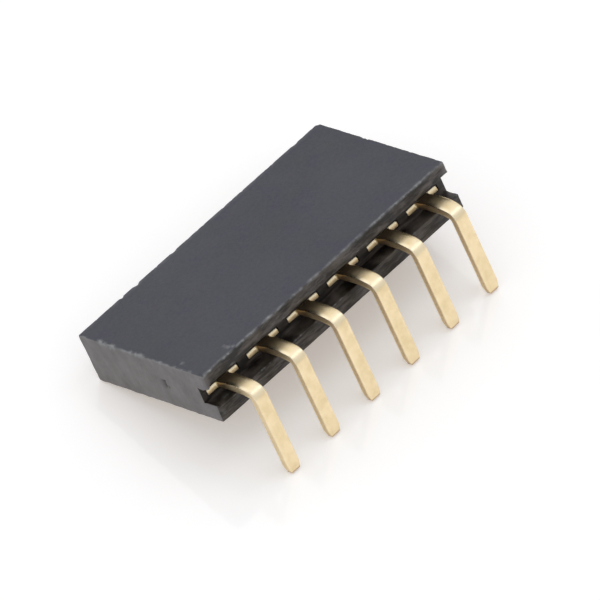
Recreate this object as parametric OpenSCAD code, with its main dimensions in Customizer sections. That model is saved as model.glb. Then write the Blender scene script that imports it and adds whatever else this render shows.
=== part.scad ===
// Right-angle female pin header strip: one row of sockets, for through-hole soldering.
//
// X runs along the row, Y runs from the mating face towards the tails, and Z is up.
// The origin is the middle of the row of tails, in the plane of the board's top.
// The board lies under the housing, and the tails go down through it.

/* [Row] */
// Number of contacts in the row
ways = 6; // [1:1:20]
// Distance from one contact to the next
pitch = 2.54; // [2.5:0.01:2.6]

/* [Housing] */
// Depth of the housing, from its mating face to its rear face
housing_d = 8.5; // [8:0.1:9.5]
// Height of the housing above the board
housing_h = 2.54; // [2.44:0.02:2.8]
// Length of the housing beyond its whole pitches, where it was cut from longer stock
end_spare = 0.08; // [0:0.01:0.3]

/* [Rear channel] */
// Depth of the channel that runs along the rear face
channel_d = 0.78; // [0.6:0.02:0.9]
// Thickness of the lip above the channel
lip_t = 0.6; // [0.5:0.02:0.7]
// Height of the sill below the channel
sill_h = 0.72; // [0.6:0.02:0.8]

/* [Sockets] */
// Side of the square hole that a pin of the mating header enters
socket_w = 0.9; // [0.75:0.05:1]
// Depth of the wall that the hole goes through
socket_wall = 0.9; // [0.8:0.05:1.1]
// Side of the funnel's mouth in the mating face
mouth_w = 1.5; // [1.2:0.05:1.7]
// Depth of the funnel
mouth_d = 0.4; // [0.2:0.05:0.5]
// Width of the cavity behind the hole
cavity_w = 1.96; // [1.9:0.02:2.1]
// Height of the cavity behind the hole
cavity_h = 1; // [0.8:0.05:1.1]

/* [Contacts] */
// Thickness of the metal that the contacts are stamped from
strip_t = 0.38; // [0.2:0.02:0.4]
// Height of the middle of the strip above the board
contact_z = 1.24; // [1.14:0.02:1.3]
// Width of the plate that is pressed into the housing
plate_w = 1.88; // [1.7:0.02:1.9]
// Length of that plate
plate_l = 1.7; // [1.5:0.1:2]
// How far each barb stands out from the plate's edge
barb = 0.09; // [0.05:0.01:0.12]
// Gap between the plate and its slot in the housing
slot_gap = 0.02; // [0.01:0.01:0.04]

/* [Forks] */
// Width over the two tines
fork_w = 1.7; // [1.6:0.02:1.74]
// Gap between the tines' tips and the wall that the sockets go through
tip_gap = 0.5; // [0.2:0.05:0.8]
// Width of the slot between the tines, at its root
fork_slot = 0.66; // [0.6:0.02:0.7]
// Width of the slot where the tines grip the pin
fork_grip = 0.48; // [0.4:0.02:0.56]

/* [Tails] */
// Width of the tail
tail_w = 0.68; // [0.6:0.01:0.8]
// Distance from the rear face to the middle of the tails
tail_setback = 1.49; // [1.4:0.01:1.6]
// Outside radius of the tail's bend
bend_r = 0.72; // [0.6:0.02:0.8]
// Radius in the corner between the plate and the tail
root_r = 0.12; // [0.05:0.01:0.2]
// Length of the tail below the board
tail_l = 3.25; // [2.5:0.05:4]
// Length of the tapered tip
tip_l = 0.35; // [0.2:0.05:0.5]
// How much narrower the tip's end is on each side
tip_side = 0.1; // [0:0.01:0.14]
// How much thinner the tip's end is on each face
tip_face = 0.04; // [0:0.01:0.06]

/* [Hidden] */
// Facets of a full circle
$fn = 96;
// How far a cutting shape runs past the face that it opens
over = 1;

housing_l = ways * pitch + end_spare;
rear_y = -tail_setback;
mating_y = rear_y - housing_d;
floor_y = rear_y - channel_d;
channel_h = housing_h - lip_t - sill_h;
// The cavity ends where the plate begins
cavity_back_y = floor_y - plate_l;
cavity_front_y = mating_y + socket_wall;
fork_l = cavity_back_y - cavity_front_y - tip_gap;
strip_top = contact_z + strip_t / 2;
bend_inner_r = bend_r - strip_t;
// Centre of the tail's bend, seen from the side
bend_y = strip_t / 2 - bend_r;
bend_z = strip_top - bend_r;

// X of the contact with the given number, counted from the -X end
function contact_x(n) = (n - (ways + 1) / 2) * pitch;

// Extrudes a 2D shape drawn in Y and Z along X, to the given width about X = 0
module along_x(width) {
    rotate([90, 0, 90]) linear_extrude(width, center = true) children();
}

// Extrudes a 2D shape drawn in X and Y along Z, to the given height about the strip's middle
module about_strip(height) {
    translate([0, 0, contact_z]) linear_extrude(height, center = true) children();
}

// The plate in plan, a little wider by the given gap
module plate_outline(gap = 0) {
    translate([-plate_w / 2 - gap, cavity_back_y]) square([plate_w + 2 * gap, plate_l]);
}

// Two pairs of barbs in plan. Each slopes up from the front and ends square at the rear
module barb_outlines() {
    barb_l = plate_l / 4;
    edge = plate_w / 2;
    for (side = [-1, 1], back_y = [floor_y - plate_l / 4, floor_y - plate_l * 5 / 8])
        polygon([
            [side * (edge - barb), back_y],
            [side * (edge + barb), back_y],
            [side * edge, back_y - barb_l],
            [side * (edge - barb), back_y - barb_l]
        ]);
}

// The fork in plan: two tines that narrow the slot to a grip, then flare to let the pin in
module fork_outline() {
    tip_y = cavity_front_y + tip_gap;
    root_y = cavity_back_y - fork_slot / 2;
    grip_y = tip_y + 0.2 * fork_l;
    grip_l = 0.06 * fork_l;
    flare_y = tip_y + 0.07 * fork_l;
    corner = 0.12;
    difference() {
        translate([-fork_w / 2, tip_y]) square([fork_w, fork_l]);
        translate([0, root_y]) circle(d = fork_slot);
        polygon([
            [-fork_slot / 2, root_y],
            [-fork_grip / 2, grip_y + grip_l],
            [-fork_grip / 2, grip_y],
            [-fork_slot * 0.6, flare_y],
            [-fork_slot * 0.6, tip_y - over],
            [fork_slot * 0.6, tip_y - over],
            [fork_slot * 0.6, flare_y],
            [fork_grip / 2, grip_y],
            [fork_grip / 2, grip_y + grip_l],
            [fork_slot / 2, root_y]
        ]);
        for (side = [-1, 1])
            polygon([
                [side * fork_w / 2, tip_y + corner],
                [side * (fork_w / 2 - corner), tip_y],
                [side * fork_w / 2, tip_y - over],
                [side * (fork_w / 2 + over), tip_y]
            ]);
    }
}

// The straight start of the tail in plan, with a radius in each corner against the plate
module tail_outline() {
    difference() {
        translate([-tail_w / 2 - root_r, floor_y]) square([tail_w + 2 * root_r, bend_y - floor_y]);
        for (side = [-1, 1]) {
            translate([side * (tail_w / 2 + root_r), floor_y + root_r]) circle(r = root_r);
            translate([side * (tail_w / 2 + root_r) - root_r, floor_y + root_r])
                square([2 * root_r, bend_y - floor_y]);
        }
    }
}

// The bend and the leg of the tail, seen from the side
module bent_tail_profile() {
    translate([bend_y, bend_z]) intersection() {
        difference() {
            circle(r = bend_r);
            circle(r = bend_inner_r);
        }
        square(bend_r + over);
    }
    polygon([
        [-strip_t / 2, bend_z],
        [strip_t / 2, bend_z],
        [strip_t / 2, tip_l - tail_l],
        [strip_t / 2 - tip_face, -tail_l],
        [tip_face - strip_t / 2, -tail_l],
        [-strip_t / 2, tip_l - tail_l]
    ]);
}

// The leg's outline seen along Y, which tapers the width of the tip
module leg_front_outline() {
    polygon([
        [-tail_w / 2, strip_top + over],
        [tail_w / 2, strip_top + over],
        [tail_w / 2, tip_l - tail_l],
        [tail_w / 2 - tip_side, -tail_l],
        [tip_side - tail_w / 2, -tail_l],
        [-tail_w / 2, tip_l - tail_l]
    ]);
}

// One contact, stamped and bent from flat strip: fork, barbed plate and tail
module contact(n) {
    color("goldenrod") translate([contact_x(n), 0, 0]) {
        about_strip(strip_t) {
            plate_outline();
            barb_outlines();
            fork_outline();
            tail_outline();
        }
        intersection() {
            along_x(tail_w) bent_tail_profile();
            translate([0, bend_r, 0]) rotate([90, 0, 0])
                linear_extrude(2 * bend_r) leg_front_outline();
        }
    }
}

// A square funnel: the part that two wedges share, one seen from above and one from the side
module funnel() {
    slope = (mouth_w - socket_w) / 2 / mouth_d;
    wide = mouth_w / 2 + slope * over;
    narrow = socket_w / 2;
    trapezoid = [[-wide, -over], [wide, -over], [narrow, mouth_d], [-narrow, mouth_d]];
    translate([0, mating_y, contact_z]) intersection() {
        linear_extrude(2 * wide, center = true) polygon(trapezoid);
        rotate([0, 90, 0]) linear_extrude(2 * wide, center = true) polygon(trapezoid);
    }
}

// Everything that is hollow for one contact: funnel, hole, cavity and the slot for the plate
module contact_space(n) {
    translate([contact_x(n), 0, 0]) {
        funnel();
        translate([-socket_w / 2, mating_y, contact_z - socket_w / 2])
            cube([socket_w, socket_wall + over, socket_w]);
        translate([-cavity_w / 2, cavity_front_y, contact_z - cavity_h / 2])
            cube([cavity_w, cavity_back_y - cavity_front_y, cavity_h]);
        about_strip(strip_t + 2 * slot_gap) {
            translate([0, over / 2]) plate_outline(slot_gap);
            plate_outline(slot_gap);
            barb_outlines();
        }
    }
}

// The moulded housing. Its channel runs out through both cut ends
module housing() {
    color("#26272b") difference() {
        translate([-housing_l / 2, mating_y, 0]) cube([housing_l, housing_d, housing_h]);
        translate([-housing_l / 2 - over, floor_y, sill_h])
            cube([housing_l + 2 * over, channel_d + over, channel_h]);
        for (n = [1:ways]) contact_space(n);
    }
}

housing();
for (n = [1:ways]) contact(n);
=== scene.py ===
"""Right-angle female pin header strip: its looks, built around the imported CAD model.

X runs along the row, Y from the mating face towards the tails, and Z is up.
Sizes are in millimetres up to the last step of each mesh, where MM turns them into metres.
"""

import math

import bmesh
import bpy
import numpy as np
from mathutils import Matrix, Vector, noise


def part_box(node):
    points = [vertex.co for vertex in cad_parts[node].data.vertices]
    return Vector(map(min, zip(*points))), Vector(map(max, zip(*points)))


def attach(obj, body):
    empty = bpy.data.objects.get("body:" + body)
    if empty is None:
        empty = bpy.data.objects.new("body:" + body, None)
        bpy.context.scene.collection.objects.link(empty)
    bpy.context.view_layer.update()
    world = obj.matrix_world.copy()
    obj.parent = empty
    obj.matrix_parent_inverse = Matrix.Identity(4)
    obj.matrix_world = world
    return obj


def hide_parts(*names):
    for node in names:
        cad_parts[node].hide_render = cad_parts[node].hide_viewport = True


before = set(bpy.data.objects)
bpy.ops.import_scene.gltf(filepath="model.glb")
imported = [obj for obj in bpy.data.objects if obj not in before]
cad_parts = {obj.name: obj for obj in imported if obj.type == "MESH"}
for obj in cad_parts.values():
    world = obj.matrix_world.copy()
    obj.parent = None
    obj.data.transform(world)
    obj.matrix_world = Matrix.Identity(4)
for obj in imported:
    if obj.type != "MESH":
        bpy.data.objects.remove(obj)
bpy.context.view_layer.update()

MM = 0.001
# A distance that is too small to matter, and a length that counts as none, in millimetres
TINY = 1e-6
NOTHING = 1e-9


def box_mm(node):
    """Lowest and highest corners of a CAD node, in millimetres."""
    low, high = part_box(node)
    return np.array(low) / MM, np.array(high) / MM


# The housing's outside
HOUSING_LOW, HOUSING_HIGH = box_mm("housing")
MATING_Y = HOUSING_LOW[1]
REAR_Y = HOUSING_HIGH[1]
TOP_Z = HOUSING_HIGH[2]

# The channel along the rear, and the lip and sill above and below it
CHANNEL_D = 0.78
LIP_T = 0.6
LIP_Z = TOP_Z - LIP_T
SILL_Z = 0.72
CHANNEL_Z = (LIP_Z + SILL_Z) / 2
FLOOR_Y = REAR_Y - CHANNEL_D

# The contacts, each with its middle along X
CONTACTS = sorted(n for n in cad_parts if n.startswith("contact_"))
CONTACT_LOW, CONTACT_HIGH = box_mm(CONTACTS[0])
CONTACT_X = [float(sum(corner[0] for corner in box_mm(n)) / 2) for n in CONTACTS]
HALF_PITCH = 1.27
STRIP_T = 0.38
STRIP_Z = CONTACT_HIGH[2] - STRIP_T / 2
# How dark the sheared sides of each contact are, from the -X end
SHEAR_MARKS = (1, 1, 1, 1, 0.75, 0.35)

# The plate, which is thinner than the strip and lies a little lower, and its barbs
PLATE_T = 0.3
PLATE_Z = 1.175
PLATE_W = 1.92
PLATE_L = 1.7
BARB = 0.07

# The fork
FORK_W = 1.7
FORK_GAP = 0.5
FORK_CORNER = 0.12
FORK_SLOT = 0.66
FORK_GRIP = 0.48

# The tail: wider at its root than down the leg, with a tapered tip
TAIL_W = 0.7
LEG_W = 0.65
ROOT_R = 0.12
BEND_R = 0.72
TIP_L = 0.35
TIP_SIDE = 0.08
TIP_FACE = 0.04

# The sockets
SOCKET_W = 0.9
SOCKET_WALL = 0.9
MOUTH_W = 1.5
MOUTH_D = 0.4
CAVITY_W = 1.96
CAVITY_H = 1.0
SLOT_GAP = 0.02
CAVITY_FRONT_Y = MATING_Y + SOCKET_WALL
CAVITY_BACK_Y = FLOOR_Y - PLATE_L

# How the housing's mesh is divided: the largest cells along X, Y and Z, and the rows beside each edge
CELLS = (0.09, 0.12, 0.1)
EDGE_ROWS = (0.02, 0.045, 0.08, 0.12, 0.17, 0.23)

# How each tail's mesh is divided: rows before the bend, along it and down the leg
ROOT_STEPS = 7
BEND_STEPS = 28
LEG_STEPS = 13

# The contacts' stamped edges: a small round all along, and a wider roll where the punch went in
EDGE_ROUND = 0.022
ROLL_W = 0.2
ROLL_H = 0.02
PLATE_ROLL_W = 0.12
PLATE_ROLL_H = 0.07
PLATE_CORNER = 0.06

# The tail's slow dip before its bend, and the place along the bend where it shines most and where a
# highlight is painted
LEAD_L = 0.7
LEAD_ANGLE = math.radians(15)
HIGHLIGHT_ANGLE = math.radians(42)
# How far the rear edges of the plates lean back
LEAN = 0.026
# The length of the bare cut at the tip of each tail
CUT_L = 0.09

# The rounding of the housing's edges: the smallest, the usual and the most worn
LEAST_R = 0.02
EDGE_R = 0.035
WORN_R = 0.23
# How far the saw smeared the lip down and the sill up at the +X end
LIP_BURR = 0.28
SILL_BURR = 0.17


def noise_at(points, scale, seed):
    """Smooth noise from -1 to 1 at each point. The scale is the number of features in a millimetre."""
    offset = Vector((seed * 7.3, seed * 3.1, seed * 5.7))
    scale = np.broadcast_to(scale, 3)
    return np.array([noise.noise(Vector(p) + offset) for p in points * scale])


def smooth_step(low, high, values):
    """0 at low and before it, 1 at high and past it, and a smooth ramp between them."""
    t = np.clip((values - low) / (high - low), 0, 1)
    return t * t * (3 - 2 * t)


def planes(low, high, marks, cell):
    """Cutting planes from low to high: at the marks, close together by both ends, else a cell apart."""
    rows = [low + r for r in EDGE_ROWS] + [high - r for r in EDGE_ROWS]
    fixed = sorted({round(float(v), 4) for v in [low, high, *rows, *marks]})
    out = []
    for a, b in zip(fixed, fixed[1:]):
        count = max(1, math.ceil((b - a) / cell - TINY))
        out += [a + (b - a) * i / count for i in range(count)]
    return np.array(out + [fixed[-1]])


def lattice_surface(axes, solid):
    """The surface of the solid cells of a lattice, as points and quads that face outwards."""
    shape = [len(a) for a in axes]
    padded = np.pad(solid, 1)
    inner = tuple(slice(1, -1) for _ in range(3))
    quads = []
    for axis in range(3):
        b, c = (axis + 1) % 3, (axis + 2) % 3
        for side in (0, 1):
            neighbour = list(inner)
            neighbour[axis] = slice(2, None) if side else slice(0, -2)
            cells = np.argwhere(padded[inner] & ~padded[tuple(neighbour)])
            corners = []
            for db, dc in ((0, 0), (1, 0), (1, 1), (0, 1)):
                corner = cells.copy()
                corner[:, axis] += side
                corner[:, b] += db
                corner[:, c] += dc
                corners.append(np.ravel_multi_index(corner.T, shape))
            quad = np.stack(corners, axis=1)
            quads.append(quad if side else quad[:, ::-1])
    used, quads = np.unique(np.concatenate(quads), return_inverse=True)
    index = np.unravel_index(used, shape)
    points = np.stack([axes[i][index[i]] for i in range(3)], axis=1)
    return points, quads.reshape(-1, 4)


def socket_planes(half_sizes, middles):
    """Planes at each half size to both sides of each middle."""
    return [m + s * h for m in middles for h in half_sizes for s in (-1, 1)]


def nearest_contact(x):
    """Distance along X from the middle of the nearest contact, with its sign."""
    middles = np.array(CONTACT_X)
    gap = x[..., None] - middles
    return np.take_along_axis(gap, np.abs(gap).argmin(-1)[..., None], -1)[..., 0]


def housing_lattice():
    """Points and quads of the housing with sharp edges and straight socket holes."""
    slot_w = PLATE_W / 2 + SLOT_GAP
    barbs_w = PLATE_W / 2 + BARB + SLOT_GAP
    slot_h = PLATE_T / 2 + SLOT_GAP
    barbs_y = FLOOR_Y - PLATE_L / 4
    rows = [0, *EDGE_ROWS]
    x_marks = socket_planes([SOCKET_W / 2, CAVITY_W / 2, slot_w, barbs_w], CONTACT_X)
    y_marks = [MATING_Y + MOUTH_D, CAVITY_FRONT_Y, CAVITY_BACK_Y, barbs_y, FLOOR_Y]
    z_marks = socket_planes([SOCKET_W / 2, CAVITY_H / 2], [STRIP_Z])
    z_marks += socket_planes([slot_h], [PLATE_Z])
    z_marks += [LIP_Z + r for r in rows]
    z_marks += [SILL_Z - r for r in rows]
    xs = planes(HOUSING_LOW[0], HOUSING_HIGH[0], x_marks, CELLS[0])
    ys = planes(MATING_Y, REAR_Y, y_marks, CELLS[1])
    zs = planes(0, TOP_Z, z_marks, CELLS[2])
    x, y, z = np.meshgrid(*[(a[1:] + a[:-1]) / 2 for a in (xs, ys, zs)], indexing="ij")
    dx = np.abs(nearest_contact(x))
    dz = np.abs(z - STRIP_Z)
    in_cavity = (y > CAVITY_FRONT_Y) & (y < CAVITY_BACK_Y)
    in_slot = (np.abs(z - PLATE_Z) < slot_h) & (y > CAVITY_BACK_Y)
    solid = ~((y > FLOOR_Y) & (z > SILL_Z) & (z < LIP_Z))
    solid &= ~((dx < SOCKET_W / 2) & (dz < SOCKET_W / 2) & (y < CAVITY_FRONT_Y))
    solid &= ~((dx < CAVITY_W / 2) & (dz < CAVITY_H / 2) & in_cavity)
    solid &= ~((dx < slot_w) & in_slot)
    solid &= ~((dx < barbs_w) & in_slot & (y < barbs_y))
    return lattice_surface((xs, ys, zs), solid)


def open_funnels(points):
    """Widens each hole towards the mating face, and squeezes the face between the mouths."""
    share = np.clip(1 - (points[:, 1] - MATING_Y) / MOUTH_D, 0, 1)
    limit = {0: (HALF_PITCH, HALF_PITCH), 2: (STRIP_Z, TOP_Z - STRIP_Z)}
    for axis, centre in ((0, nearest_contact(points[:, 0])), (2, points[:, 2] - STRIP_Z)):
        reach = np.where(centre < 0, limit[axis][0], limit[axis][1])
        size = np.abs(centre)
        wide = np.where(size <= SOCKET_W / 2, size * MOUTH_W / SOCKET_W,
                        reach - (reach - size) * (reach - MOUTH_W / 2) / (reach - SOCKET_W / 2))
        wide = np.where(size < reach, wide, size)
        points[:, axis] += np.sign(centre) * (wide - size) * share
    return points


def round_edges(points, radius):
    """Rounds the outer edges of the body, the lip and the sill, each point by its own radius."""
    behind = points[:, 1] > FLOOR_Y + TINY
    low = np.tile(HOUSING_LOW, (len(points), 1))
    high = np.tile(HOUSING_HIGH, (len(points), 1))
    low[behind & (points[:, 2] > CHANNEL_Z), 2] = LIP_Z
    high[behind & (points[:, 2] < CHANNEL_Z), 2] = SILL_Z
    # The lip and the sill go on forwards into the body, so they have no edge at the channel's floor
    low[behind, 1] -= 1
    r = radius[:, None]
    core = np.clip(points, low + r, high - r)
    out = points - core
    length = np.linalg.norm(out, axis=1, keepdims=True)
    by_an_edge = (np.abs(out) > NOTHING).sum(axis=1, keepdims=True) > 1
    return np.where(by_an_edge, core + out * r / np.maximum(length, NOTHING), points)


def mesh_object(name, points, faces, body="root"):
    """A piece from points in millimetres, smooth-shaded with sharp edges kept."""
    mesh = bpy.data.meshes.new(name)
    mesh.from_pydata((points * MM).tolist(), [], faces.tolist())
    mesh.validate()
    mesh.shade_smooth()
    mesh.set_sharp_from_angle(angle=math.radians(50))
    piece = bpy.data.objects.new(name, mesh)
    bpy.context.scene.collection.objects.link(piece)
    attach(piece, body)
    return piece


def edge_radius(points):
    """Radius of the edges at each point: tight along the mould's edges, wavy and worn by the ends."""
    edge_wave = 0.012
    end_wear = 0.012
    end_wave = 0.025
    corner_wear = 0.13
    far = 0.5
    near = 0.1
    wave = noise_at(points, 2.5, 1) + 0.7 * noise_at(points, 7.0, 2)
    end_gap = HOUSING_HIGH[0] - np.abs(points[:, 0])
    by_end = smooth_step(far, near, end_gap)
    by_corner = smooth_step(far, near, np.hypot(end_gap, REAR_Y - points[:, 1]))
    by_corner *= smooth_step(0.1, 0.6, points[:, 2]) * (points[:, 0] > 0)
    radius = EDGE_R + edge_wave * wave + by_end * (end_wear + end_wave * wave) + by_corner * corner_wear
    return np.clip(radius, LEAST_R, WORN_R)


def close_notch(points):
    """Burrs that the saw left at the +X end: the lip hangs down a little and the sill stands up."""
    by_end = smooth_step(HOUSING_HIGH[0] - 0.34, HOUSING_HIGH[0] - 0.03, points[:, 0])
    by_channel = smooth_step(FLOOR_Y - 0.25, FLOOR_Y + 0.1, points[:, 1])
    wave = 1 + 0.25 * noise_at(points, 3.0, 3)
    shift = np.interp(points[:, 2], (0, SILL_Z, LIP_Z, TOP_Z), (0, SILL_BURR, -LIP_BURR, 0))
    points[:, 2] += shift * by_end * by_channel * wave
    return points


def wave_faces(points):
    """Lets the worn faces wander: the sawn ends, the rear of the lip and sill, and the lip's edge."""
    reach = 0.2
    near_end_depth = 0.03
    far_end_depth = 0.01
    streak_depth = 0.02
    blotch_depth = 0.045
    edge_depth = 0.045
    end_gap = HOUSING_HIGH[0] - np.abs(points[:, 0])
    by_end = np.abs(noise_at(points, (0.3, 2.2, 1.6), 4)) * smooth_step(reach, 0, end_gap)
    # The far end waves outwards, and is cut off at the CAD model's box later
    points[:, 0] -= by_end * np.where(points[:, 0] > 0, near_end_depth, -far_end_depth)
    rear_gap = REAR_Y - points[:, 1]
    streaks = np.abs(noise_at(points, (0.7, 0, 4.5), 5)) * streak_depth
    blotches = np.abs(noise_at(points, (2.2, 0, 3.0), 6)) * blotch_depth
    on_lip = points[:, 2] > CHANNEL_Z
    points[:, 1] -= np.where(on_lip, blotches, streaks) * smooth_step(reach, 0, rear_gap)
    by_edge = smooth_step(reach, 0, np.abs(points[:, 2] - LIP_Z))
    by_edge *= smooth_step(2 * reach, 0, rear_gap)
    points[:, 2] += by_edge * (edge_depth * noise_at(points, (2.6, 0, 0), 7))
    return points


def press(points, place, radius, depth):
    """Pushes the points around a place inwards, and returns how far each was touched, from 0 to 1."""
    core = 0.4
    gap = np.linalg.norm(points - place, axis=1) / radius
    share = np.clip(1 - gap**2, 0, 1) ** 2
    inwards = np.clip(points, HOUSING_LOW + core, HOUSING_HIGH - core) - points
    inwards /= np.maximum(np.linalg.norm(inwards, axis=1, keepdims=True), NOTHING)
    points += inwards * (depth * share)[:, None]
    return share


def nicks():
    """Places, radii, depths and paleness of the nicks: plain ones listed one by one, and small ones all
    along.
    """
    left, right = HOUSING_LOW[0], HOUSING_HIGH[0]
    out = []
    # Along the top edge of the +X end, by distance from the rear
    for gap, radius, depth in (
            (7.09, 0.3, 0.07), (6.77, 0.22, 0.03), (6.22, 0.26, 0.05), (4.96, 0.22, 0.04),
            (4.61, 0.22, 0.04), (4.29, 0.27, 0.07), (2.9, 0.18, 0.04), (1.9, 0.18, 0.04)):
        out.append(((right, REAR_Y - gap, TOP_Z), radius, depth, 1))
    # Along the lip's top edge
    for x, radius, depth in (
            (7.57, 0.12, 0.05), (7.13, 0.12, 0.05), (6.25, 0.13, 0.05), (5.99, 0.12, 0.04)):
        out.append(((x, REAR_Y, TOP_Z), radius, depth, 1))
    # Along the top edge of the mating face
    for x, radius, depth in ((4.92, 0.16, 0.05), (4.01, 0.2, 0.06)):
        out.append(((x, MATING_Y, TOP_Z), radius, depth, 0.6))
    # Light marks on the top and the sill
    for x, gap, z in (
            (5.66, 0.38, TOP_Z), (5.68, 0.63, TOP_Z), (5.52, 0.19, TOP_Z), (7.6, 0.93, TOP_Z),
            (7.26, 1.77, TOP_Z), (7.42, 0, 0.42), (6.72, 0.35, SILL_Z), (6.88, 0.37, SILL_Z)):
        out.append(((x, REAR_Y - gap, z), 0.16, 0.01, 0.45))
    # A scratch across the +X end, below its top edge
    for gap, z in ((6.82, 2.46), (6.62, 2.41), (6.42, 2.37), (6.22, 2.41), (6.07, 2.48)):
        out.append(((right, REAR_Y - gap, z), 0.15, 0.012, 0.6))
    out.append(((left, MATING_Y, TOP_Z), 0.2, 0.06, 0.3))
    # Small ones, spread along each edge
    rng = np.random.default_rng(5)
    for count, low, high in (
            (26, (right, MATING_Y, TOP_Z), (right, REAR_Y, TOP_Z)),
            (5, (left, MATING_Y, TOP_Z), (left, REAR_Y, TOP_Z)),
            (60, (left, REAR_Y, TOP_Z), (right, REAR_Y, TOP_Z)),
            (30, (left, MATING_Y, TOP_Z), (right, MATING_Y, TOP_Z)),
            (26, (left, REAR_Y, LIP_Z), (right, REAR_Y, LIP_Z)),
            (26, (left, REAR_Y, SILL_Z), (right, REAR_Y, SILL_Z))):
        for _ in range(count):
            place = np.array(low) + (np.array(high) - low) * rng.random()
            size = rng.random() ** 2
            out.append((tuple(place), 0.08 + 0.06 * size, 0.012 + 0.025 * size, 0.4))
    return out


def dents():
    """Places, radii and depths of the dents in the sawn +X end."""
    right = HOUSING_HIGH[0]
    return (
        ((right, REAR_Y - 3.29, 1.36), 0.2, 0.13),
        ((right, REAR_Y - 3.31, 1.12), 0.17, 0.11),
        ((right, REAR_Y - 3.11, 1.1), 0.14, 0.09))


def pale_edge_wear_and_highlight(points):
    """How pale the upper edges are, from 0 to 1: partly worn plastic, partly a painted highlight along
    each edge.
    """
    from_top = TOP_Z - points[:, 2]
    rear = np.hypot(1.5 * from_top, REAR_Y - points[:, 1])
    front = np.hypot(from_top, points[:, 1] - MATING_Y)
    end = np.hypot(from_top, HOUSING_HIGH[0] - points[:, 0])
    band = np.zeros(len(points))
    for gap, width, paleness in ((rear, 0.19, 0.42), (front, 0.3, 0.15), (end, 0.12, 0.4)):
        band = np.maximum(band, smooth_step(width, 0, gap) * paleness)
    wave = 1 + 1.5 * noise_at(points, 1.8, 8) + noise_at(points, 5.0, 9)
    return np.clip(wave, 0.2, 2) * band


def deep_grime(points):
    """Painted shade, from 0 to 1: how much darker the channel's floor by the slots and the lip's lower
    edge are painted.
    """
    floor_z = 1.17
    floor_grime = 0.6
    lip_grime = 0.7
    in_floor = smooth_step(FLOOR_Y + 0.3, FLOOR_Y, points[:, 1])
    in_floor *= smooth_step(0.4, 0.1, np.abs(points[:, 2] - floor_z))
    under_lip = smooth_step(0.09, 0.02, np.abs(points[:, 2] - LIP_Z))
    return np.maximum(floor_grime * in_floor, lip_grime * under_lip)


def set_values(mesh, **values):
    """Keeps named numbers for each point of a mesh, for its material to read."""
    for name, numbers in values.items():
        layer = mesh.attributes.new(name, "FLOAT", "POINT")
        layer.data.foreach_set("value", numbers.astype(np.float32))


def make_housing():
    """The moulded housing, with its funnels, its rounded and nicked edges and its sawn ends."""
    points, quads = housing_lattice()
    end_gap = HOUSING_HIGH[0] - np.abs(points[:, 0])
    at_rear = points[:, 1] > REAR_Y - TINY
    # The saw smeared the lip's rear face too, close to each end
    smear = 0.7 * smooth_step(0.4, 0, end_gap) * at_rear * (points[:, 2] > LIP_Z - TINY)
    sawn = np.where(end_gap < TINY, 1, smear)
    in_channel = points[:, 1] > FLOOR_Y - TINY
    in_channel &= (points[:, 2] < LIP_Z + TINY) & (points[:, 2] > SILL_Z - TINY)
    # The rear faces and the channel, which the material paints darker as shade
    rear = (at_rear | in_channel).astype(float)
    # Pale upper edges: partly worn plastic, partly a painted highlight along each edge
    pale = pale_edge_wear_and_highlight(points)
    # Painted shade in the channel by the slots and under the lip
    grime = deep_grime(points)
    radius = edge_radius(points)
    points = open_funnels(points)
    points = round_edges(points, radius)
    points = wave_faces(points)
    points = close_notch(points)
    for place, reach, depth, paleness in nicks():
        pale = np.maximum(pale, paleness * press(points, place, reach, depth))
    # How far each point lies in a dent, which the material paints darker
    stain = np.zeros(len(points))
    for place, reach, depth in dents():
        stain = np.maximum(stain, press(points, place, reach, depth))
    points = np.clip(points, HOUSING_LOW, HOUSING_HIGH)
    piece = mesh_object("moulded_housing", points, quads)
    set_values(piece.data, sawn=sawn, rear=rear, pale=pale, stain=stain, grime=grime)
    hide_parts("housing")
    return piece


def walk(angles, step):
    """Y and Z reached by a line that starts at 0, runs along +Y and turns down by the given angles."""
    middle = (angles[1:] + angles[:-1]) / 2
    run = np.concatenate([[0], np.cumsum(np.cos(middle)) * step])
    drop = np.concatenate([[0], np.cumsum(np.sin(middle)) * step])
    return run, -drop


def bend_path():
    """The middle line of the tail's bend, from its start: arc length, y, z and angle.

    It dips a little before it bends, and passes through the middle of the CAD model's plain arc.
    """
    mid_r = BEND_R - STRIP_T / 2
    centre_y = CONTACT_HIGH[1] - BEND_R
    centre_z = CONTACT_HIGH[2] - BEND_R
    half_way = np.array([centre_y, centre_z]) + mid_r * math.sqrt(0.5)
    share = np.linspace(0, 1, 201)
    best = None
    # The length of line that brings it closest to the middle of the plain arc
    for length in np.linspace(1.2, 2.0, 81):
        lead = np.clip(share * length / LEAD_L, 0, 1) ** 1.2 * LEAD_ANGLE
        main = smooth_step(LEAD_L, length, share * length) * (math.pi / 2 - LEAD_ANGLE)
        angle = lead + main
        y, z = walk(angle, share[1] * length)
        y, z = y - y[-1], z + STRIP_Z
        miss = np.hypot(y - half_way[0], z - half_way[1]).min()
        if best is None or miss < best[0]:
            best = miss, share * length, y, z, angle
    return best[1:]


def arc(x, y, radius, start, end, steps=6):
    """Points of an arc in plan, where the angles are in degrees."""
    angles = np.radians(np.linspace(start, end, steps + 1))
    return [(x + radius * math.cos(a), y + radius * math.sin(a)) for a in angles]


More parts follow.
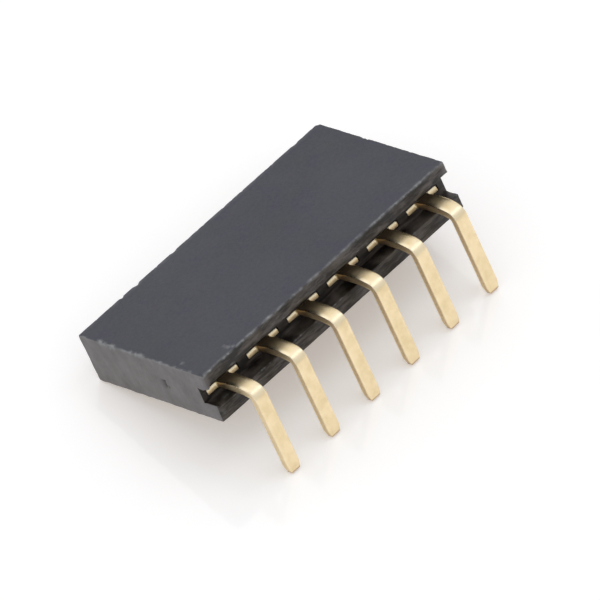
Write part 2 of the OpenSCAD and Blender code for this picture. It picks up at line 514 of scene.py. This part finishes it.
def half_outline(leg_start, tail_end):
    """The flat contact's outline in plan for x > 0, from the tail's end to the root of the fork."""
    half_leg = LEG_W / 2
    half_tail = TAIL_W / 2
    half_plate = PLATE_W / 2
    half_fork = FORK_W / 2
    half_slot = FORK_SLOT / 2
    mouth = FORK_SLOT * 0.6
    tip_y = CAVITY_FRONT_Y + FORK_GAP
    fork_l = CAVITY_BACK_Y - tip_y
    points = [(half_leg - TIP_SIDE, tail_end), (half_leg, tail_end - TIP_L), (half_leg, leg_start)]
    points += [(half_tail, leg_start - BEND_R)]
    points += arc(half_tail + ROOT_R, FLOOR_Y + ROOT_R, ROOT_R, 180, 270)
    points += arc(half_plate - PLATE_CORNER, FLOOR_Y - PLATE_CORNER, PLATE_CORNER, 90, 0)
    for back in (FLOOR_Y - PLATE_L / 4, FLOOR_Y - PLATE_L * 5 / 8):
        points += [(half_plate, back), (half_plate + BARB, back), (half_plate, back - PLATE_L / 4)]
    points += [(half_plate, CAVITY_BACK_Y), (half_fork, CAVITY_BACK_Y)]
    points += [(half_fork, tip_y + FORK_CORNER), (half_fork - FORK_CORNER, tip_y)]
    points += [(mouth, tip_y), (mouth, tip_y + 0.07 * fork_l)]
    points += [(FORK_GRIP / 2, tip_y + 0.2 * fork_l), (FORK_GRIP / 2, tip_y + 0.26 * fork_l)]
    return points + arc(0, CAVITY_BACK_Y - half_slot, half_slot, 0, 90)


def flat_blank(path):
    """The stamped blank: the outline, as thick as the strip, cut into rows so that it can bend."""
    start = path[1][0]
    bend_end = start + path[0][-1]
    tail_end = bend_end + path[2][-1] - CONTACT_LOW[2]
    half = half_outline(bend_end, tail_end)
    outline = half + [(-x, y) for x, y in reversed(half[:-1])]
    bm = bmesh.new()
    base = bm.faces.new([bm.verts.new((x, y, STRIP_Z - STRIP_T / 2)) for x, y in outline])
    top = bmesh.ops.extrude_face_region(bm, geom=[base])
    moved = [v for v in top["geom"] if isinstance(v, bmesh.types.BMVert)]
    bmesh.ops.translate(bm, verts=moved, vec=(0, 0, STRIP_T))
    bmesh.ops.recalc_face_normals(bm, faces=bm.faces)
    ys = list(np.linspace(start, bend_end, BEND_STEPS + 1))
    ys += list(np.linspace(bend_end, tail_end - TIP_L, LEG_STEPS + 1)[1:])
    ys += [tail_end - TIP_L * part for part in (0.25, 0.5)]
    ys += [FLOOR_Y - PLATE_ROLL_W * part for part in (0.3, 0.6, 1)]
    ys += list(np.linspace(FLOOR_Y + ROOT_R, start, ROOT_STEPS + 1)[:-1])
    xs = [side * (TAIL_W / 2 - ROLL_W * part) for part in (0.25, 0.5, 0.75, 1) for side in (-1, 1)]
    zs = [STRIP_Z + h * STRIP_T / 2 for h in (-0.35, 0, 0.35)]
    cuts = [((0, y, 0), (0, 1, 0)) for y in ys]
    cuts += [((x, 0, 0), (1, 0, 0)) for x in [*xs, 0]]
    cuts += [((0, 0, z), (0, 0, 1)) for z in zs]
    for place, normal in cuts:
        whole = bm.verts[:] + bm.edges[:] + bm.faces[:]
        bmesh.ops.bisect_plane(bm, geom=whole, plane_co=place, plane_no=normal, dist=1e-4)
    mesh = bpy.data.meshes.new("blank")
    bm.to_mesh(mesh)
    bm.free()
    return mesh, tail_end


def bend_tail(points, path, tail_end):
    """Tapers the tip's thickness and bends the tail down, from flat points in millimetres."""
    length, path_y, path_z, path_angle = path
    taper = 1 - np.clip((points[:, 1] - tail_end + TIP_L) / TIP_L, 0, 1) * TIP_FACE / (STRIP_T / 2)
    off = (points[:, 2] - STRIP_Z) * taper
    along = points[:, 1] - path_y[0]
    angle = np.interp(along, length, path_angle)
    rest = np.maximum(along - length[-1], 0)
    bent_y = np.interp(along, length, path_y) + off * np.sin(angle)
    bent_z = np.interp(along, length, path_z) + off * np.cos(angle) - rest
    points[:, 1] = np.where(along > 0, bent_y, points[:, 1])
    points[:, 2] = np.where(along > 0, bent_z, STRIP_Z + off)
    return points


def rolled_blank(path):
    """Points and faces of the flat blank with its rolled edges."""
    blank, tail_end = flat_blank(path)
    piece = bpy.data.objects.new("blank", blank)
    bpy.context.scene.collection.objects.link(piece)
    bevel = piece.modifiers.new("edges", "BEVEL")
    bevel.width = EDGE_ROUND
    bevel.segments = 2
    bevel.limit_method = "ANGLE"
    bevel.angle_limit = math.radians(25)
    bpy.context.view_layer.update()
    done = piece.evaluated_get(bpy.context.evaluated_depsgraph_get())
    points = np.array([v.co for v in done.data.vertices])
    faces = [list(p.vertices) for p in done.data.polygons]
    bpy.data.objects.remove(piece)
    return points, faces, tail_end


def tail_roll(points):
    """How far over the tail's long edges each point is, from 0 to 1."""
    share = np.clip((np.abs(points[:, 0]) - TAIL_W / 2) / ROLL_W + 1, 0, 1)
    return share * smooth_step(FLOOR_Y, FLOOR_Y + 0.3, points[:, 1])


def bar_share(points):
    """How far each point is on the bars: the plate's rear edge to both sides of the tail."""
    share = smooth_step(TAIL_W / 2, TAIL_W / 2 + ROOT_R, np.abs(points[:, 0]))
    return share * np.clip((points[:, 1] - FLOOR_Y) / PLATE_ROLL_W + 1, 0, 1)


def plate_roll(points):
    """How far over the plate's rear edges each point is, from 0 to 1."""
    side = np.abs(points[:, 0])
    by_side = np.maximum(side - PLATE_W / 2 + PLATE_ROLL_W, 0)
    by_rear = np.maximum(points[:, 1] - FLOOR_Y + PLATE_ROLL_W, 0)
    share = np.clip(np.hypot(by_side, by_rear) / PLATE_ROLL_W, 0, 1)
    share *= smooth_step(TAIL_W / 2, TAIL_W / 2 + ROOT_R, side)
    return share * smooth_step(FLOOR_Y - 0.4, FLOOR_Y - 0.3, points[:, 1])


def contact_looks(points, height, path, tail_end, shear_mark):
    """How sheared, burnished and cut each point of the flat contact is, with painted shade on the root
    by the housing and a painted highlight on the bend, the bars and the tail's +X edge.
    """
    upper_face = height > 0.9
    on_tail = points[:, 1] > FLOOR_Y + ROOT_R / 2
    on_bar = bar_share(points)
    over_tail = tail_roll(points)
    sheared = smooth_step(0.9, 0.75, np.abs(height)) * on_tail * shear_mark
    sheared = np.maximum(sheared, 0.6 * on_bar * smooth_step(0.2, -0.3, height))
    burnished = np.maximum(over_tail * upper_face, on_bar * smooth_step(-0.2, 0.3, height))
    cut = smooth_step(tail_end - CUT_L, tail_end, points[:, 1])
    # Painted shade: the tail darker and browner near the housing, where the lip overhangs it
    root = smooth_step(REAR_Y + 0.28, REAR_Y - 0.37, points[:, 1]) * on_tail
    # Painted highlight: paler gold around the bend, on the bars' upper halves and along the tail's +X
    # edge
    highlight_y = path[1][0] + np.interp(HIGHLIGHT_ANGLE, path[3], path[0])
    highlight_l = 0.3
    painted_highlight = smooth_step(highlight_l, 0, np.abs(points[:, 1] - highlight_y)) * (height > 0.5)
    painted_highlight = np.maximum(painted_highlight, on_bar * smooth_step(0, 0.3, height))
    crest_highlight = smooth_step(0, 0.4, over_tail) * (points[:, 0] > 0) * upper_face
    crest_highlight *= np.interp(points[:, 1], (highlight_y, highlight_y + highlight_l), (0.65, 0.15))
    painted_highlight = np.maximum(painted_highlight, crest_highlight)
    return {"sheared": sheared, "burnished": burnished, "cut": cut, "root": root, "painted_highlight": painted_highlight}


def roll_edges(points, height):
    """Rolls the upper edges of the tail and the plate, thins the plate and leans its rear edge back."""
    on_bar = bar_share(points)
    over_tail = tail_roll(points)
    over_plate = plate_roll(points)
    upper = np.clip(height, 0, 1)
    points[:, 1] -= on_bar * LEAN * (1 + height + 1.1 * upper)
    points[:, 2] -= ROLL_H * (1 - np.cos(over_tail * math.pi / 2)) * upper
    points[:, 2] -= PLATE_ROLL_H * (1 - np.cos(over_plate * math.pi / 2)) * upper
    plate_z = PLATE_Z + height * PLATE_T / 2 - STRIP_Z - height * STRIP_T / 2
    points[:, 2] += plate_z * smooth_step(FLOOR_Y + 0.8, FLOOR_Y, points[:, 1])
    return points


def make_contact(node, x, shear_mark, material):
    """One gold-plated contact: a stamped blank with rolled edges, bent and put in its place."""
    path = bend_path()
    points, faces, tail_end = rolled_blank(path)
    height = (points[:, 2] - STRIP_Z) / (STRIP_T / 2)
    looks = contact_looks(points, height, path, tail_end, shear_mark)
    points = roll_edges(points, height)
    points = bend_tail(points, path, tail_end)
    points[:, 0] += x
    mesh = bpy.data.meshes.new("gold_" + node)
    mesh.from_pydata((points * MM).tolist(), [], faces)
    mesh.validate()
    mesh.shade_smooth()
    mesh.materials.append(material)
    set_values(mesh, **looks)
    contact = bpy.data.objects.new("gold_" + node, mesh)
    bpy.context.scene.collection.objects.link(contact)
    weighted = contact.modifiers.new("normals", "WEIGHTED_NORMAL")
    weighted.weight = 80
    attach(contact, "root")
    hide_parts(node)


class Shader:
    """Nodes of one material, added and linked by short calls."""

    def __init__(self, name):
        self.material = bpy.data.materials.new(name)
        self.material.use_nodes = True
        self.tree = self.material.node_tree
        self.tree.nodes.clear()

    def add(self, kind, inputs=None, **settings):
        """A new node. Each input is a number, a colour, or the output of another node."""
        node = self.tree.nodes.new("ShaderNode" + kind)
        for key, value in settings.items():
            setattr(node, key, value)
        for key, value in (inputs or {}).items():
            if isinstance(value, bpy.types.NodeSocket):
                self.tree.links.new(value, node.inputs[key])
            else:
                node.inputs[key].default_value = value
        return node

    def coords(self, scale=(1, 1, 1)):
        """Object coordinates in millimetres, stretched by scale."""
        where = self.add("TexCoord").outputs["Object"]
        return self.add("Mapping", {"Vector": where, "Scale": [s / MM for s in scale]}).outputs[0]

    def noise(self, vector, scale, detail=3.0, rough=0.5):
        """Noise from 0 to 1, where scale is the number of features in a millimetre."""
        inputs = {"Vector": vector, "Scale": scale, "Detail": detail, "Roughness": rough}
        return self.add("TexNoise", inputs).outputs["Fac"]

    def value(self, name):
        """A number that the mesh keeps for each point."""
        return self.add("Attribute", attribute_name=name).outputs["Fac"]

    def ramp(self, value, low, high, bottom=0.0, top=1.0):
        """A straight line from bottom, where the value is low, to top, where it is high."""
        inputs = {"Value": value, "From Min": low, "From Max": high, "To Min": bottom, "To Max": top}
        return self.add("MapRange", inputs).outputs[0]

    def mix(self, factor, a, b):
        """Colour a where the factor is 0, and colour b where it is 1.

        A Mix node's inputs 6 and 7 and its output 2 are the ones for colours.
        """
        node = self.add("Mix", {0: factor, 6: a, 7: b}, data_type="RGBA")
        return node.outputs[2]

    def math(self, operation, a, b):
        """The result of a sum or product of two numbers."""
        return self.add("Math", {0: a, 1: b}, operation=operation).outputs[0]

    def surface(self, node):
        """The finished material, with this node as its surface."""
        out = self.add("OutputMaterial")
        self.tree.links.new(node.outputs[0], out.inputs["Surface"])
        return self.material


def colour(r, g, b):
    """An opaque colour."""
    return (r, g, b, 1.0)


# The plastic's colours
SKIN_BLUE = colour(0.032, 0.037, 0.048)
SKIN_VIOLET = colour(0.031, 0.028, 0.057)
SKIN_HAZE = colour(0.049, 0.052, 0.068)
CUT_DARK = colour(0.160, 0.145, 0.141)
CUT_PALE = colour(0.250, 0.228, 0.224)
# The colour of the dents in the sawn end, darker than the rest of it
DENT_DARK = colour(0.035, 0.027, 0.024)
# The rear faces and the channel: painted shade, darker and browner than the skin, with lighter streaks
# and smudges
SHADED_REAR_DARK = colour(0.006, 0.004, 0.003)
SHADED_REAR_PALE = colour(0.105, 0.090, 0.082)
# Near black for the painted shade in the channel and under the lip
RECESS_SHADE_BLACK = colour(0.004, 0.003, 0.002)
# Pale nicks and edges: partly worn plastic, partly a painted highlight
PALE_WEAR_AND_HIGHLIGHT = colour(0.29, 0.30, 0.305)

# The plating's colours
GOLD_DEEP = colour(0.84, 0.68, 0.41)
GOLD_LIGHT = colour(0.94, 0.78, 0.51)
# Paler gold for the painted highlight
GOLD_HIGHLIGHT = colour(0.91, 0.80, 0.58)
SHEARED_DARK = colour(0.60, 0.46, 0.28)
SHEARED_LIGHT = colour(0.74, 0.59, 0.38)
# Browner for the painted shade on the tail's root under the lip
ROOT_SHADE_BROWN = colour(0.50, 0.37, 0.22)
TIP_BROWN = colour(0.42, 0.27, 0.15)

# The depth that a height of 1 stands for in the bumps
BUMP_DEPTH = 0.02 * MM


def black_plastic():
    """Black plastic: a satin moulded skin, dull sawn ends, a rear painted darker and browner as shade,
    and pale nicks and edges, partly worn and partly a painted highlight.
    """
    s = Shader("black_plastic")
    where = s.coords()
    sawn = s.value("sawn")
    rear = s.value("rear")
    hue = s.noise(where, 0.9, 2.0)
    skin = s.mix(s.ramp(hue, 0.35, 0.65), SKIN_BLUE, SKIN_VIOLET)
    cloud = s.math("ADD", s.noise(where, 0.28, 2.0), s.noise(where, 6.0, 3.0, 0.6))
    skin = s.mix(s.ramp(cloud, 0.75, 1.25, 0.0, 0.8), skin, SKIN_HAZE)
    upright = s.noise(s.coords((1.0, 1.3, 0.8)), 1.0, 6.0, 0.7)
    cut = s.mix(s.ramp(upright, 0.32, 0.68), CUT_DARK, CUT_PALE)
    # Darker in the dents of the sawn end
    cut = s.mix(s.math("MULTIPLY", s.value("stain"), 0.9), cut, DENT_DARK)
    # Long streaks on the sill and in the channel, and rounder smudges on the lip
    streak = s.noise(s.coords((0.9, 1.0, 6.0)), 1.0, 5.0, 0.6)
    smudge = s.noise(s.coords((1.1, 1.0, 4.0)), 1.0, 4.0, 0.55)
    height = s.add("SeparateXYZ", {0: where}).outputs["Z"]
    mark = s.mix(s.ramp(height, SILL_Z + 0.4, LIP_Z - 0.2), streak, smudge)
    # Painted shade: the rear faces and the channel darker and browner than the skin, with lighter
    # streaks and smudges
    shaded_rear = s.mix(s.ramp(mark, 0.42, 0.66), SHADED_REAR_DARK, SHADED_REAR_PALE)
    # Painted shade: darkest at the channel's floor by the slots and under the lip's lower edge
    shaded_rear = s.mix(s.value("grime"), shaded_rear, RECESS_SHADE_BLACK)
    base = s.mix(sawn, s.mix(rear, skin, shaded_rear), cut)
    # Pale nicks and upper edges: partly worn plastic, partly a painted highlight along the edges
    speckle = s.ramp(s.noise(where, 4.0, 3.0), 0.35, 0.62, 0.4, 1.25)
    base = s.mix(s.math("MULTIPLY", s.value("pale"), speckle), base, PALE_WEAR_AND_HIGHLIGHT)
    grain = s.noise(where, 14.0)
    rough = s.ramp(grain, 0.3, 0.7, 0.38, 0.5)
    rough = s.math("ADD", rough, s.math("MULTIPLY", sawn, 0.2))
    scored = s.math("MULTIPLY", s.math("MULTIPLY", rear, mark), 0.5)
    relief = s.math("ADD", s.math("MULTIPLY", grain, 0.15), scored)
    bump = s.add("Bump", {"Height": relief, "Strength": 1.0, "Distance": BUMP_DEPTH})
    return s.surface(s.add("BsdfPrincipled", {
        "Base Color": base, "Roughness": rough, "IOR": 1.5, "Normal": bump.outputs[0]}))


def gold():
    """Pale gold plating: satin on the faces, smoother on rolled edges, brown on the sheared sides, with
    a painted highlight on the bend, the bars and the tail's +X edge, and painted shade on the root by
    the housing.
    """
    s = Shader("pale_gold")
    where = s.coords()
    sheared = s.value("sheared")
    mottle = s.noise(where, 2.2)
    flat = s.mix(s.ramp(mottle, 0.35, 0.65), GOLD_DEEP, GOLD_LIGHT)
    # Painted highlight: paler gold at the bend, on the bars' upper halves and along the tail's +X edge
    flat = s.mix(s.value("painted_highlight"), flat, GOLD_HIGHLIGHT)
    torn = s.noise(where, 9.0)
    side = s.mix(s.ramp(torn, 0.35, 0.65), SHEARED_DARK, SHEARED_LIGHT)
    # Painted shade: darker and browner on the tail's root under the lip
    base = s.mix(s.value("root"), s.mix(sheared, flat, side), ROOT_SHADE_BROWN)
    base = s.mix(s.value("cut"), base, TIP_BROWN)
    grain = s.noise(where, 20.0)
    bump = s.add("Bump", {"Height": grain, "Strength": 0.12, "Distance": BUMP_DEPTH})
    rough = s.math("ADD", s.ramp(grain, 0.3, 0.7, 0.36, 0.44), s.math("MULTIPLY", sheared, 0.14))
    rough = s.math("SUBTRACT", rough, s.math("MULTIPLY", s.value("burnished"), 0.14))
    return s.surface(s.add("BsdfPrincipled", {
        "Base Color": base, "Metallic": 1.0, "Roughness": rough, "Normal": bump.outputs[0]}))


def seen(shader):
    """1 for rays from the camera, from gloss and through glass, and 0 for the rest."""
    path = shader.add("LightPath")
    direct = shader.math("MAXIMUM", path.outputs["Is Camera Ray"], path.outputs["Is Glossy Ray"])
    return shader.math("MAXIMUM", direct, path.outputs["Is Transmission Ray"])


# The strength of the world's light on matt surfaces, and of the floor's own light for the camera
FILL = 0.905
FLOOR_LIFT = 0.33


def floor_material():
    """White, slightly glossy floor: lifted to white for the camera, clear from beneath."""
    s = Shader("white_floor")
    white = s.add("BsdfPrincipled", {
        "Base Color": colour(0.767, 0.835, 0.908), "Roughness": 0.06, "IOR": 1.42,
        "Emission Color": colour(1.17, 1.0, 0.84),
        "Emission Strength": s.math("MULTIPLY", seen(s), FLOOR_LIFT)})
    clear = s.add("BsdfTransparent")
    back = s.add("NewGeometry").outputs["Backfacing"]
    return s.surface(s.add("MixShader", {0: back, 1: white.outputs[0], 2: clear.outputs[0]}))


def make_floor():
    """The floor that the part rests on, by the front edge of its housing and the tips of its tails."""
    tip = np.array([0, TIP_FACE - STRIP_T / 2, CONTACT_LOW[2]])
    front = np.array([0, MATING_Y, 0])
    tilt = math.atan2(front[2] - tip[2], tip[1] - front[1])
    low = -0.01
    half = 1000
    mesh = bpy.data.meshes.new("floor")
    corners = [(-half, -half, low), (half, -half, low), (half, half, low), (-half, half, low)]
    mesh.from_pydata([Vector(c) * MM for c in corners], [], [(0, 1, 2, 3)])
    mesh.materials.append(floor_material())
    floor = bpy.data.objects.new("floor", mesh)
    bpy.context.scene.collection.objects.link(floor)
    floor.matrix_world = Matrix.Translation(Vector(front) * MM) @ Matrix.Rotation(-tilt, 4, "X")


def make_world():
    """White all round: at full strength for the camera and for gloss, and weaker on matt surfaces."""
    world = bpy.data.worlds.new("studio")
    world.use_nodes = True
    bpy.context.scene.world = world
    tree = world.node_tree
    tree.nodes.clear()
    path = tree.nodes.new("ShaderNodeLightPath")
    background = tree.nodes.new("ShaderNodeBackground")
    output = tree.nodes.new("ShaderNodeOutputWorld")
    diffuse = tree.nodes.new("ShaderNodeMath")
    diffuse.operation = "MULTIPLY"
    diffuse.inputs[1].default_value = 1 - FILL
    strength = tree.nodes.new("ShaderNodeMath")
    strength.operation = "SUBTRACT"
    strength.inputs[0].default_value = 1.0
    tree.links.new(path.outputs["Is Diffuse Ray"], diffuse.inputs[0])
    tree.links.new(diffuse.outputs[0], strength.inputs[1])
    tree.links.new(strength.outputs[0], background.inputs["Strength"])
    tree.links.new(background.outputs[0], output.inputs["Surface"])


def make_softbox(name, direction, distance, size, watts):
    """A square area lamp that faces the object from the given direction."""
    lamp = bpy.data.lights.new(name, "AREA")
    lamp.shape = "SQUARE"
    lamp.size = size
    lamp.energy = watts
    box = bpy.data.objects.new(name, lamp)
    bpy.context.scene.collection.objects.link(box)
    direction = Vector(direction).normalized()
    box.location = direction * distance
    box.rotation_mode = "QUATERNION"
    box.rotation_quaternion = (-direction).to_track_quat("-Z", "Y")
    box.visible_camera = False


def make_camera():
    """The camera, set by where it looks, from which side and from how far."""
    azimuth = math.radians(150.84)
    elevation = math.radians(31.9)
    roll = math.radians(-25.4)
    distance = 0.451
    target = Vector((0.000874, REAR_Y * MM - 0.001478, 0.001074))
    level = math.cos(elevation)
    back = Vector((math.sin(azimuth) * level, -math.cos(azimuth) * level, math.sin(elevation)))
    facing = (-back).to_track_quat("-Z", "Y")
    data = bpy.data.cameras.new("camera")
    data.lens = 627.27
    data.sensor_width = 36
    data.clip_start = 0.01
    camera = bpy.data.objects.new("camera", data)
    bpy.context.scene.collection.objects.link(camera)
    camera.location = target + back * distance
    camera.rotation_mode = "QUATERNION"
    camera.rotation_quaternion = facing @ Matrix.Rotation(roll, 4, "Z").to_quaternion()
    bpy.context.scene.camera = camera


make_camera()
make_world()
make_floor()
make_softbox("key_softbox", (-0.25, -0.35, 1.0), 0.5, 0.3, 0.13)
make_softbox("rear_softbox", (-0.41, 0.36, 0.83), 0.5, 0.24, 0.2)
housing = make_housing()
housing.data.materials.append(black_plastic())
plating = gold()
for node, x, shear_mark in zip(CONTACTS, CONTACT_X, SHEAR_MARKS):
    make_contact(node, x, shear_mark, plating)

scene = bpy.context.scene
scene.view_settings.view_transform = "Standard"
